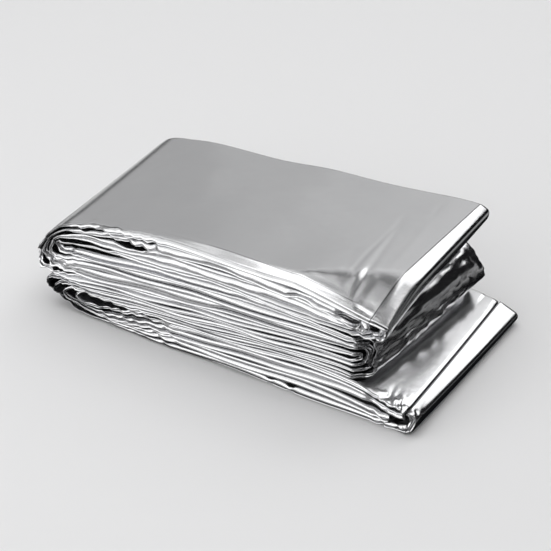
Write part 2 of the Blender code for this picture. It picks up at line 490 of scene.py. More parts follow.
    def bevelled(self, leaf: int, upper_ply: int, lower_ply: int, rows: tuple[Bevel, Bevel]) -> Stretch:
        """Fold a leaf's right end over with a bevel, an upright heel and a tuck under it.

        Args:
            leaf: The leaf.
            upper_ply: The ply that the bevel starts from.
            lower_ply: The ply that the tuck ends in.
            rows: The bevel's rows at the front and the back edge.

        Returns:
            The stretch of path from the upper to the lower ply.
        """
        row = mixed(*rows, self.depth)
        upper, half = self.ply_rows(leaf, upper_ply, row.inner_x)
        lower, _ = self.ply_rows(leaf, lower_ply, row.inner_x - self.tuck_run)
        outer_x = row.outer_x - half[0]
        top, foot = upper[0], (outer_x - row.shoulder, upper[0, 1] - row.drop)
        lead = self.lead * (1.0 if leaf == 1 else self.floor_lead_share)
        before, pressed = (top[0] - lead, top[1]), (top[0] - 0.5 * lead, top[1])
        top = (top[0], top[1] + self.pressed)
        heel = (outer_x - self.heel_lean * row.heel, foot[1] - row.heel)
        tuck = (outer_x - self.tuck_in, max(heel[1] - self.tuck_drop, lower[0, 1] + self.tuck_clear))
        corners = np.array([before, pressed, top, foot, heel, tuck, lower[0]])
        shares = np.linspace(0, len(corners) - 1, self.bevel_points)
        line = np.column_stack([np.interp(shares, range(len(corners)), c) for c in corners.T])
        return Stretch(Kind.FOLD, leaf, upper_ply, line, np.full(len(line), half[0]))

    def path(self) -> list[Stretch]:
        """Lead the film from end to end.

        Returns:
            Its stretches of path, from the hook round the bottom leaf's end to the free edge inside.
        """
        low_x = mixed(*BOTTOM_BEVEL, self.depth).inner_fold_x
        top_x = mixed(*TOP_BEVEL, self.depth).inner_fold_x
        hook = self.bevelled(PLIES, 3, 0, BOTTOM_BEVEL)
        top = self.bevelled(1, 0, 3, TOP_BEVEL)
        inner_top = self.inner_fold(1, 1, 2, top_x)
        low = self.inner_fold(PLIES, 3, 2, low_x)
        outer, last = (self.ply_upwards(ply, start, stop) for ply, start, stop in (
            (0, hook.line[-1, 0], top.line[0, 0]), (3, low.line[0, 0], top.line[-1, 0])))
        second, inner = (self.ply_upwards(ply, start, stop) for ply, start, stop in (
            (2, low.line[-1, 0], inner_top.line[-1, 0]),
            (1, low.line[-1, 0] - FREE_EDGE_STEP, inner_top.line[0, 0])))
        return ([hook] + outer + [top] + turned(last) + [low] + second
                + turned([inner_top]) + turned(inner))


def turned(stretches: list[Stretch]) -> list[Stretch]:
    """Walk stretches the other way."""
    return [Stretch(s.kind, s.leaf, s.ply, s.line[::-1], s.half[::-1]) for s in reversed(stretches)]


@dataclass(frozen=True)
class Crease:
    """A soft trough or ridge pressed into the lid along a line of x and y places."""

    line: tuple[tuple[float, float], ...]
    height: float
    width: float
    fade: float = 3.0

    def lift(self, x: np.ndarray, y: np.ndarray) -> np.ndarray:
        """Work out the height that the crease adds.

        Args:
            x: Places along the packet.
            y: Places across it.

        Returns:
            A height for each place.
        """
        pts = np.array(self.line, dtype=float)
        total = np.linalg.norm(np.diff(pts, axis=0), axis=1).sum()
        best, along = np.full(x.shape, np.inf), np.zeros(x.shape)
        walked = 0.0
        for a, b in zip(pts[:-1], pts[1:]):
            step = b - a
            size = np.linalg.norm(step)
            t = np.clip(((x - a[0]) * step[0] + (y - a[1]) * step[1]) / size ** 2, 0, 1)
            gap = np.hypot(x - a[0] - t * step[0], y - a[1] - t * step[1])
            nearer = gap < best
            along = np.where(nearer, walked + t * size, along)
            best = np.minimum(best, gap)
            walked += size
        ends = ease(0, self.fade, along) * ease(0, self.fade, total - along)
        return self.height * ends * np.exp(-(best / self.width) ** 2)


@dataclass(frozen=True)
class Crumple:
    """A zone of crushed film: where it is, how it moves and how coarse its facets are."""

    x: tuple[float, float]
    y: tuple[float, float]
    z: tuple[float, float]
    soft: tuple[float, float, float]
    move: tuple[float, float, float]
    wave: float
    seed: int
    main: tuple[float, float, float] = (1.0, 0.3, 1.0)
    spread: float = 0.8

    def shift(self, points: np.ndarray) -> np.ndarray:
        """Work out how the zone moves the film.

        Args:
            points: Places in millimetres, three numbers each.

        Returns:
            A move for each point.
        """
        mask = np.ones(points.shape[:-1])
        for axis, (low, high) in enumerate((self.x, self.y, self.z)):
            mask = mask * window(low, high, self.soft[axis], points[..., axis])
        facets = pleats(points, self.wave, self.seed, self.main, self.spread)
        return (mask * facets)[..., None] * np.array(self.move)


@dataclass(frozen=True)
class Roll:
    """How one front turn of the film lies along a stretch: its share of the ply, lean and reach."""

    leaf: int
    ply: int
    upper: bool
    x: tuple[float, float]
    share: float
    tip: float
    reach: float = 0.0


@dataclass(frozen=True)
class Slit:
    """A dark gap that stands open in the front between a ply and what lies over it."""

    leaf: int
    ply: int
    x: tuple[float, float]
    soft: float
    amount: float
    below: bool = False
    inset: float = 0.0


@dataclass(frozen=True)
class Droop:
    """The lid's front strip, which slopes down from a crease to the front edge."""

    edge_y: float = -40.0
    low_z: float = 29.0
    high_z: float = 43.0
    x: tuple[float, ...] = (-45.0, -20.0, 5.0, 20.0, 34.0, 45.0, 56.0, 61.0, 67.0)
    furthest: float = 1.2
    drop: tuple[float, ...] = (0.4, 0.9, 1.3, 1.7, 3.0, 4.4, 5.6, 6.0, 6.2)
    crease_y: tuple[float, ...] = (-36.4, -36.4, -36.4, -36.0, -34.0, -27.0, -20.0, -18.0, -17.0)
    curl: tuple[float, ...] = (1.0, 1.0, 1.0, 1.05, 1.15, 1.2, 1.2, 1.25, 1.25)

    def shift(self, points: np.ndarray) -> np.ndarray:
        """Work out how far the film goes down.

        Args:
            points: Places in millimetres, three numbers each.

        Returns:
            A drop for each point.
        """
        x, y, z = np.moveaxis(points, -1, 0)
        drop, crease, curl = (np.interp(x, self.x, row) for row in (self.drop, self.crease_y, self.curl))
        out = np.clip((crease - y) / (crease - self.edge_y), 0, self.furthest) ** curl
        return drop * out * np.clip((z - self.low_z) / (self.high_z - self.low_z), 0, 1)


LID_CREASES = (
    Crease(((43.7, 15.1), (44.5, 12), (46.1, 4.5), (48.1, -6.5), (50.1, -17), (51.3, -25.9), (52.7, -37.2)),
           -0.2, 0.75, 8.0),
    Crease(((43.2, 15.0), (45.4, 3), (47.0, -11), (48.4, -21), (49.8, -28), (50.6, -35)), 0.16, 1.1, 10.0),
    Crease(((42.6, 17.9), (44.4, 8.5), (45.5, -5), (45.8, -15.1), (46.9, -23.6), (48.2, -33)),
           -0.18, 0.75, 8.0),
    Crease(((39.8, -9.4), (41.8, -17.7), (46.8, -31)), -0.1, 0.8, 5.0),
    Crease(((49.3, 32.3), (51.5, 24.5), (52.3, 19.7)), -0.08, 0.8, 4.0),
    Crease(((53.0, 18), (55.5, -5), (56.5, -26)), 0.06, 1.4, 8.0),
    Crease(((-30, -33.5), (-20, -34.9), (-3, -35.8), (20, -36.0), (52.5, -36.0)), 0.16, 0.7, 12.0),
    Crease(((53.0, -34.6), (56, -35.0), (61.8, -35.8)), -0.12, 0.5, 2.0),
    Crease(((54.0, -37.4), (57, -37.8), (61.8, -38.6)), -0.2, 0.6, 1.5),
    Crease(((-6.5, 4.6), (6.4, -3.9), (24.1, -13.4)), -0.12, 4.0, 10.0),
    Crease(((-6.6, 30.6), (15.4, 14.7), (29.5, 10.8), (36.7, 11.8)), -0.12, 4.0, 10.0),
    Crease(((-40, 20), (-28, 2), (-20, -14)), 0.12, 6.0, 10.0),
)

CRUMPLES = (
    Crumple((-80, -60), (-46, -30), (2, 27), (8, 6, 4), (0.35, 0.9, 0.4), 6.5, 3),
    Crumple((-82, -66), (-46, -34), (6, 22), (3, 4, 3), (0.5, 0.9, 0.5), 3.6, 31, (1.0, 0.2, 0.3), 0.9),
    Crumple((-56, -28), (-46, -36), (6.2, 10), (6, 4, 2.5), (0.15, 0.8, 0.25), 5.5, 5),
    Crumple((-46, -16), (-46, -36), (2, 8), (6, 4, 2), (0.15, 0.6, 0.2), 4.5, 8),
    Crumple((55, 72), (-44, 44), (15, 27), (4, 4, 3), (0.75, 0.0, 0.15), 4.2, 11, (0.0, 0.14, 1.0), 0.16),
    Crumple((55, 72), (-44, 44), (15, 27), (4, 4, 3), (0.8, 0.2, 0.2), 11.0, 12, (0.2, 0.8, 0.9), 0.6),
    Crumple((56, 66), (-44, -35), (24, 34), (5, 3, 3), (0.4, 0.7, 0.3), 4.5, 13),
    Crumple((49, 57), (-46, -36), (33, 38), (3, 2, 2), (0.2, 0.6, 0.3), 2.6, 29),
    Crumple((66, 82), (-46, -36), (0, 10), (5, 4, 3), (0.4, 0.8, 0.3), 4.5, 17),
    Crumple((-60, 60), (-46, -37), (30, 38), (8, 3, 4), (0.0, 0.25, 0.1), 9.0, 19, (0.5, 0.1, 1.0), 0.5),
    Crumple((-54, -20), (-46, -37), (36, 43), (6, 2, 2), (0.15, 0.9, 0.35), 7.5, 23),
)

ROLLS = (
    Roll(3, 1, True, (20, 60), 0.8, 0.15, 0.5),
    Roll(2, 1, True, (-60, 0), 0.7, 0.2, 0.3),
    Roll(1, 1, True, (-30, 30), 0.75, 0.25, 0.3),
)

SLITS = (
    Slit(1, 3, (-60, -42), 6.0, 0.7),
    Slit(1, 2, (-33, -27), 5.0, 0.8),
    Slit(1, 1, (-50, -38), 5.0, 0.55, False, 0.5),
    Slit(1, 1, (-33, -23), 4.0, 0.6, False, 0.6),
    Slit(1, 1, (35, 38), 4.0, 0.9, False, 1.6),
    Slit(4, 0, (24.6, 25.4), 1.0, 0.5, False, 0.5),
    Slit(4, 0, (32.2, 33.4), 1.2, 0.6, False, 0.6),
    Slit(4, 2, (61.5, 66), 1.5, 0.7, False, 1.2),
    Slit(1, 1, (50.5, 56), 1.6, 0.9, False, 2.2),
    Slit(3, 0, (-40, 58), 8.0, 0.5),
    Slit(3, 3, (-62, -22), 6.0, 0.6, True, 0.8),
    Slit(4, 3, (-62, -20), 6.0, 0.7, False, 1.5),
)


@dataclass
class FilmGrid:
    """The film's folded path at several depths, with the room round it for its four layers."""

    steps: dict = field(default_factory=lambda: {Kind.RUN: 1.4, Kind.BEND: 0.85, Kind.FOLD: 0.5})
    depths: int = 7
    walk_apart: float = 3.0
    reach: float = 1.0
    clearance: float = 0.09
    most_room: float = 2.6
    least_gap: float = 0.3
    most_step: float = 0.6
    leaf_lip: float = 0.25
    bend_slim: float = 0.4
    low_bend_slim: float = 0.7
    bend_blur: int = 6
    fewest_points: int = 6
    line: np.ndarray = None
    half: np.ndarray = None
    normal: np.ndarray = None
    room_out: np.ndarray = None
    room_in: np.ndarray = None
    leaf: np.ndarray = None
    ply: np.ndarray = None
    walked: np.ndarray = None
    slim: np.ndarray = None
    ends: list = field(default_factory=list)

    def __post_init__(self) -> None:
        """Walk the path at each depth and measure the room to the plies beside it."""
        counts = [max(self.fewest_points, round(s.length() / self.steps[s.kind]))
                  for s in PacketSection(SAMPLED_DEPTH).path()]
        lines = []
        for depth in np.linspace(0, 1, self.depths):
            stretches = PacketSection(float(depth)).path()
            rows = np.vstack([s.sampled(count) for s, count in zip(stretches, counts)])
            lines.append(self.smoothed(rows))
        rows = np.array(lines)
        self.line, self.half = rows[..., :2], rows[..., 2]
        self.leaf = np.concatenate([np.full(c, s.leaf) for s, c in zip(stretches, counts)])
        self.ply = np.concatenate([np.full(c, s.ply) for s, c in zip(stretches, counts)])
        self.ends = list(np.cumsum(counts))
        along = np.gradient(self.line, axis=1)
        along /= np.linalg.norm(along, axis=2)[..., None]
        self.normal = np.stack([-along[..., 1], along[..., 0]], axis=-1)
        walk = np.linalg.norm(np.diff(self.line[0], axis=0), axis=1)
        self.walked = np.concatenate([[0.0], np.cumsum(walk)])
        rooms = [self.measured(self.line[k], along[k], self.normal[k]) for k in range(self.depths)]
        out, inn = (np.array([room[side] for room in rooms]) for side in (0, 1))
        out, inn = self.softened(out), self.softened(inn)
        self.room_out = np.minimum(out, self.half + self.leaf_lip)
        self.room_out = np.where(out > FREE_ROOM, self.half, self.room_out)
        self.room_in = np.where(inn > FREE_ROOM, self.half, np.minimum(inn, self.most_room))
        bending = np.mean(neighbours(np.where(self.leaf % 1 > 0, 1.0, 0.0), self.bend_blur), axis=0)
        self.slim = 1 - np.where(self.leaf > 3, self.low_bend_slim, self.bend_slim) * bending
        middle = (self.ply == 1) | (self.ply == 2)
        self.room_out[:, middle] = np.minimum(out, self.most_room)[:, middle]

    @staticmethod
    def smoothed(rows: np.ndarray, times: int = 3) -> np.ndarray:
        """Take the hardest corners off a line of points.

        Args:
            rows: The points, one in each row.
            times: How often to do it.

        Returns:
            The softer line.
        """
        for _ in range(times):
            middle = 0.25 * rows[:-2] + 0.5 * rows[1:-1] + 0.25 * rows[2:]
            rows = np.vstack([rows[:1], middle, rows[-1:]])
        return rows

    @staticmethod
    def softened(rooms: np.ndarray, times: int = 8) -> np.ndarray:
        """Take the jitter off the measured rooms.

        Args:
            rooms: A line of rooms for each depth.
            times: How often to do it.

        Returns:
            The softer rooms, with the free ones left as they are.
        """
        soft = np.minimum(rooms, FREE_ROOM)
        for _ in range(times):
            padded = np.pad(soft, ((0, 0), (1, 1)), mode="edge")
            near = [np.where(side > NEARLY_FREE, soft, side) for side in (padded[:, :-2], padded[:, 2:])]
            soft = np.where(soft > NEARLY_FREE, soft, 0.25 * near[0] + 0.5 * soft + 0.25 * near[1])
        return np.where(rooms > FREE_ROOM, rooms, soft)

    def measured(self, line: np.ndarray, along: np.ndarray, normal: np.ndarray) -> tuple:
        """Measure half the way to the next ply on each side.

        Args:
            line: Points of the path.
            along: Its directions.
            normal: Its sideways directions.

        Returns:
            The room outwards and the room inwards.
        """
        away = line[None] - line[:, None]
        beside = np.abs(np.einsum("ijk,ik->ij", away, along)) < self.reach
        over = np.einsum("ijk,ik->ij", away, normal)
        beside &= np.abs(self.walked[:, None] - self.walked[None]) > self.walk_apart
        rooms = []
        for side in (1, -1):
            near = beside & (side * over > self.least_gap)
            gap = np.where(near, side * over, NO_NEIGHBOUR).min(axis=1) / 2
            gap = np.min(neighbours(gap, 2), axis=0)
            held = [np.minimum(other, gap + self.most_step) for other in neighbours(gap, 3)]
            rooms.append(np.where(gap > FREE_ROOM, gap, np.mean(held, axis=0)) - self.clearance)
        return rooms[0], rooms[1]

    def read(self, values: np.ndarray, rows: slice, depth: np.ndarray) -> np.ndarray:
        """Read a value of the grid between its depths.

        Args:
            values: An array with a depth and a row axis.
            rows: Which rows.
            depth: A depth for each row and column.

        Returns:
            The values, with the axes of depth and any further axis.
        """
        at = np.clip(depth, 0, 1) * (self.depths - 1)
        low = np.clip(at.astype(int), 0, self.depths - 2)
        share = at - low
        row = np.arange(rows.start, rows.stop)[:, None]
        if values.ndim == 3:
            share = share[..., None]
        return values[low, row] * (1 - share) + values[low + 1, row] * share


@dataclass
class Turns:
    """How the two front turns in a ply lie in each row."""

    share: np.ndarray
    tips: list[np.ndarray]
    swell: list[np.ndarray]
    reach: list[np.ndarray]


@dataclass
class FoldedFilm:
    """A length of the folded film, with its four lengthwise layers, as one open mesh."""

    name: str
    grid: FilmGrid
    rows: slice
    seed: int
    flat: tuple[float, float]
    lid_points: int = 20
    hidden_points: int = 3
    lip: float = 6.0
    bulge: float = 0.72
    back_turn_depth: float = 0.9
    free_edge_inset: float = 0.9
    slant: float = 1.45
    lean: float = 0.24
    lean_spread: float = 0.14
    swell_spread: float = 0.5
    roll_soft: float = 8.0
    share_range: tuple[float, float] = (0.2, 0.8)
    lean_range: tuple[float, float] = (0.12, 0.88)
    reach_range: tuple[float, float] = (-1.2, 2.5)
    back_fill: tuple[float, ...] = (0.96, 0.86, -0.86, -0.96)
    middle_fill: tuple[float, ...] = (0.96, 0.32, -0.32, -0.96)

    def noise(self, wave: float, number: int) -> np.ndarray:
        """Smooth random line along the rows."""
        walked = self.grid.walked[self.rows]
        return wander(walked - walked[0], wave, self.seed * 100 + number)

    def edge_inset(self, x: np.ndarray, z: np.ndarray, front: bool) -> np.ndarray:
        """Let the film's edges lie unevenly inside the packet's own edge.

        Args:
            x: Place of each row along the packet.
            z: Its height.
            front: Whether it is the front edge.

        Returns:
            How far in each row's edge lies.
        """
        inset = EDGE_STEP * (0.5 + 0.5 * np.sin(0.11 * x + 0.83 * z + (0.0 if front else 2.1)))
        if front:
            recess = BEND_INSET * np.clip((x - BEND_INSET_X) / BEND_INSET_RUN, 0, 1)
            inset = inset + recess * window(*BEND_INSET_Z, 0.5, z)
        return inset

    def opened(self, x: np.ndarray, upside: np.ndarray) -> tuple[np.ndarray, np.ndarray, np.ndarray]:
        """Take the slits from the room at the front edge.

        Args:
            x: Place of each row along the packet.
            upside: 1 where the path's outer side looks up, and -1 where it looks down.

        Returns:
            The room outwards and inwards, and how far back the slits set each row.
        """
        grid, rows = self.grid, self.rows
        out, inn = grid.room_out[0, rows] * grid.slim[rows], grid.room_in[0, rows] * grid.slim[rows]
        inset = np.zeros_like(x)
        for slit in SLITS:
            near = (grid.leaf[rows] == slit.leaf) & (grid.ply[rows] == slit.ply)
            cut = window(*slit.x, slit.soft, x) * near
            side = -upside if slit.below else upside
            out = np.where(side > 0, out * (1 - slit.amount * cut), out)
            inn = np.where(side < 0, inn * (1 - slit.amount * cut), inn)
            inset = inset + slit.inset * cut
        return out, inn, inset

    def turns(self, x: np.ndarray, upside: np.ndarray) -> Turns:
        """Settle how the front turns lie: at random, and as listed where a roll says so.

        Args:
            x: Place of each row along the packet.
            upside: 1 where the path's outer side looks up, and -1 where it looks down.

        Returns:
            The turns.
        """
        leaf, ply = self.grid.leaf[self.rows], self.grid.ply[self.rows]
        share = 0.5 + 0.26 * self.noise(80, 1) + 0.02 * self.noise(9, 2)
        tips = [self.lean + self.lean_spread * self.noise(*wave) for wave in ((65, 3), (58, 4))]
        swell = [self.bulge * (1 + self.swell_spread * self.noise(*wave)) for wave in ((75, 11), (68, 12))]
        reach = [0.7 * self.noise(*wide) + 0.08 * self.noise(*short) + 0.03 * self.noise(*fine)
                 for wide, short, fine in (((70, 5), (11, 6), (4.0, 7)), ((62, 8), (9, 9), (4.0, 10)))]
        for roll in ROLLS:
            weight = window(*roll.x, self.roll_soft, x) * ((leaf == roll.leaf) & (ply == roll.ply))
            upper_turn = np.where(upside > 0, 0, 1) if roll.upper else np.where(upside > 0, 1, 0)
            wanted = np.where(upper_turn == 0, roll.share, 1 - roll.share)
            share = share + (wanted - share) * weight
            for side in (0, 1):
                here = weight * (upper_turn == side)
                tips[side] = tips[side] + (roll.tip - tips[side]) * here
                reach[side] = reach[side] * (1 - here) - roll.reach * here
        return Turns(
            np.clip(share, *self.share_range), [np.clip(tip, *self.lean_range) for tip in tips],
            swell, [np.clip(far, *self.reach_range) for far in reach])

    def places(self, ends: tuple[Sequence[float], ...], points: int) -> np.ndarray:
        """Spread a layer's points: as listed at its edges and evenly between them.

        Args:
            ends: The places at the front edge, the first and last even place, and those at the back.
            points: How many even places.

        Returns:
            Shares of the layer's width.
        """
        first, even, last = ends
        return np.concatenate([first, np.linspace(*even, points), last]) / WIDTH

    def profile(self) -> tuple[np.ndarray, np.ndarray]:
        """Lay the four layers from edge to edge.

        Returns:
            For each row and column, the place across the packet and the height over the path.
        """
        grid, rows = self.grid, self.rows
        x, z = grid.line[0, rows].T
        upside = np.where(grid.normal[0, rows, 1] >= 0, 1, -1)
        up = np.clip(0.5 + 1.2 * grid.normal[0, rows, 1], 0, 1)
        out_f, in_f, slit_inset = self.opened(x, upside)
        out_b, in_b = grid.room_out[-1, rows], grid.room_in[-1, rows]
        base_front = -WIDTH / 2 + self.edge_inset(x, z, True) + slit_inset
        base_back = WIDTH / 2 - self.edge_inset(*grid.line[-1, rows].T, False)
        turns = self.turns(x, upside)
        split = out_f - turns.share * (out_f + in_f)
        front = (out_f, split + grid.clearance, split - grid.clearance, -in_f)
        back = [abs(fill) * (out_b if fill > 0 else -in_b) for fill in self.back_fill]
        middle = [fill * grid.half[:, rows].mean(axis=0) for fill in self.middle_fill]
        tall = [np.abs(front[0] - front[1]), np.abs(front[2] - front[3])]
        starts = [base_front + turns.reach[k] + turns.swell[k] * tall[k] for k in (0, 1)]
        shown = self.places(SHOWN_PLACES, self.lid_points)
        hidden = self.places(HIDDEN_PLACES, self.hidden_points)
        ys, ds = [], []

        def layer(number: int, backwards: bool) -> None:
            """Lay one layer.

            Args:
                number: 0 for the layer that is outermost on the lid, to 3.
                backwards: Whether it runs from the back edge to the front edge.
            """
            start = starts[number // 2]
            stop = base_back - (self.back_turn_depth if number in (1, 2) else self.free_edge_inset)
            places = shown if number == 0 else hidden
            for place in (places[::-1] if backwards else places):
                y = start + (stop - start) * place
                front_share = 1 - ease(0.0, self.lip, y - start)
                back_share = ease(-self.lip, 0.0, y - stop)
                rest = 1 - front_share - back_share
                ys.append(y)
                ds.append(front[number] * front_share + back[number] * back_share + middle[number] * rest)

        def front_turn(turn: int) -> None:
            """Turn the film back at the front edge.

            Args:
                turn: 0 for the turn between the outer two layers, and 1 for the other.
            """
            high, low = front[2 * turn], front[2 * turn + 1]
            lean = turns.tips[turn]
            tip = high + (low - high) * (lean + (1 - 2 * lean) * up)
            squares = (ROUND + (self.slant - ROUND) * up, self.slant + (ROUND - self.slant) * up)
            for angle in np.radians(FRONT_TURN_ANGLES):
                end, square = (high, squares[0]) if angle < pi / 2 else (low, squares[1])
                ys.append(starts[turn] - turns.swell[turn] * tall[turn] * sin(angle) ** (2 / square))
                ds.append(tip + (end - tip) * abs(cos(angle)) ** (2 / square))

        def back_turn() -> None:
            """Turn the film back at the back edge."""
            for angle in np.radians(BACK_TURN_ANGLES):
                ys.append(base_back - self.back_turn_depth * (1 - sin(angle)))
                ds.append(0.5 * (back[1] + back[2]) + 0.5 * (back[1] - back[2]) * cos(angle))

        layer(0, True)
        front_turn(0)
        layer(1, False)
        back_turn()
        layer(2, True)
        front_turn(1)
        layer(3, False)
        return np.stack(ys, axis=1), np.stack(ds, axis=1)

    def points(self) -> np.ndarray:
        """Place the points of the mesh.

        Returns:
            A point for each row and column, in millimetres.
        """
        y, height = self.profile()
        depth = y / WIDTH + 0.5
        line = self.grid.read(self.grid.line, self.rows, depth)
        normal = self.grid.read(self.grid.normal, self.rows, depth)
        normal /= np.linalg.norm(normal, axis=-1)[..., None]
        place = line + normal * height[..., None]
        points = np.stack([place[..., 0], y, place[..., 1]], axis=-1)
        moved = points.copy()
        for zone in CRUMPLES:
            moved += zone.shift(points)
        moved[..., 2] -= Droop().shift(points)
        on_lid = ease(*LID_Z, points[..., 2]) * (1 - ease(*LID_END_X, points[..., 0]))
        for crease in LID_CREASES:
            moved[..., 2] += crease.lift(points[..., 0], points[..., 1]) * on_lid
        moved[..., 2] = np.maximum(moved[..., 2], LOWEST_Z)
        return moved

    def build(self, finish: bpy.types.Material) -> bpy.types.Object:
        """Args:
            finish: The material.

        Returns:
            The piece.
        """
        points = self.points() * MM
        tall, wide = points.shape[:2]
        corner = (np.arange(tall - 1)[:, None] * wide + np.arange(wide - 1)[None]).ravel()
        faces = np.column_stack([corner, corner + 1, corner + wide + 1, corner + wide])
        mesh = bpy.data.meshes.new(self.name)
        mesh.from_pydata(points.reshape(-1, 3).tolist(), [], faces.tolist())
        mesh.polygons.foreach_set("use_smooth", [True] * len(mesh.polygons))
        mesh.materials.append(finish)
        piece = shown_object(self.name, mesh)
        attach(piece, BODY)
        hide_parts(NODE)
        log.info("%s: %d rows, %d columns, %d triangles", self.name, tall, wide, 2 * len(faces))
        return piece


def shown_object(name: str, data: bpy.types.ID) -> bpy.types.Object:
    """Put an object in the scene.

    Args:
        name: Its name.
        data: Its mesh, light or camera.

    Returns:
        The object.
    """
    made = bpy.data.objects.new(name, data)
    bpy.context.scene.collection.objects.link(made)
    return made


def lit_card(name: str, width: float, height: float, radiance: float) -> bpy.types.Object:
    """Make a flat rectangular light.

    Args:
        name: Its name.
        width: Its size along its own X, in metres.
        height: Its size along its own Y, in metres.
        radiance: How bright its face looks.

    Returns:
        The light, at the scene's origin.
    """
    light = bpy.data.lights.new(name, "AREA")
    light.shape = "RECTANGLE"
    light.size, light.size_y = width, height
    light.energy = radiance * pi * width * height
    return shown_object(name, light)


class Wire:
    """A socket of a material, with the arithmetic that adds Math nodes."""

    def __init__(self, graph: "Graph", socket: bpy.types.NodeSocket) -> None:
        """Wrap a socket of a graph."""
        self.graph = graph
        self.socket = socket

    def math(self, operation: str, first: object, second: object) -> "Wire":
        """Add a Math node for two values."""
        return self.graph.node("ShaderNodeMath", {"operation": operation}, {0: first, 1: second})["Value"]

    def __add__(self, other: object) -> "Wire":
        """Add."""
        return self.math("ADD", self, other)

    __radd__ = __add__

    def __sub__(self, other: object) -> "Wire":
        """Take away."""
        return self.math("SUBTRACT", self, other)

    def __rsub__(self, other: object) -> "Wire":
        """Be taken away."""
        return self.math("SUBTRACT", other, self)

    def __mul__(self, other: object) -> "Wire":
        """Multiply."""
        return self.math("MULTIPLY", self, other)

    __rmul__ = __mul__

    def __abs__(self) -> "Wire":
        """Drop the sign."""
        return self.math("ABSOLUTE", self, 0.0)


class Graph:
    """A material's nodes."""

    def __init__(self, name: str) -> None:
        """Start an empty material.

        Args:
            name: The material's name.
        """
        self.material = bpy.data.materials.new(name)
        self.material.use_nodes = True
        self.tree = self.material.node_tree
        self.tree.nodes.clear()

    def node(self, kind: str, settings: dict, inputs: dict) -> dict[str, Wire]:
        """Add a node.

        Args:
            kind: Its type.
            settings: Its own settings, set first.
            inputs: Values or wires for its sockets, by name or number.

        Returns:
            Its outputs by name.
        """
        made = self.tree.nodes.new(kind)
        for key, value in settings.items():
            setattr(made, key, value)
        for key, value in inputs.items():
            if isinstance(value, Wire):
                self.tree.links.new(value.socket, made.inputs[key])
            else:
                made.inputs[key].default_value = value
        return {socket.name: Wire(self, socket) for socket in made.outputs if socket.enabled}


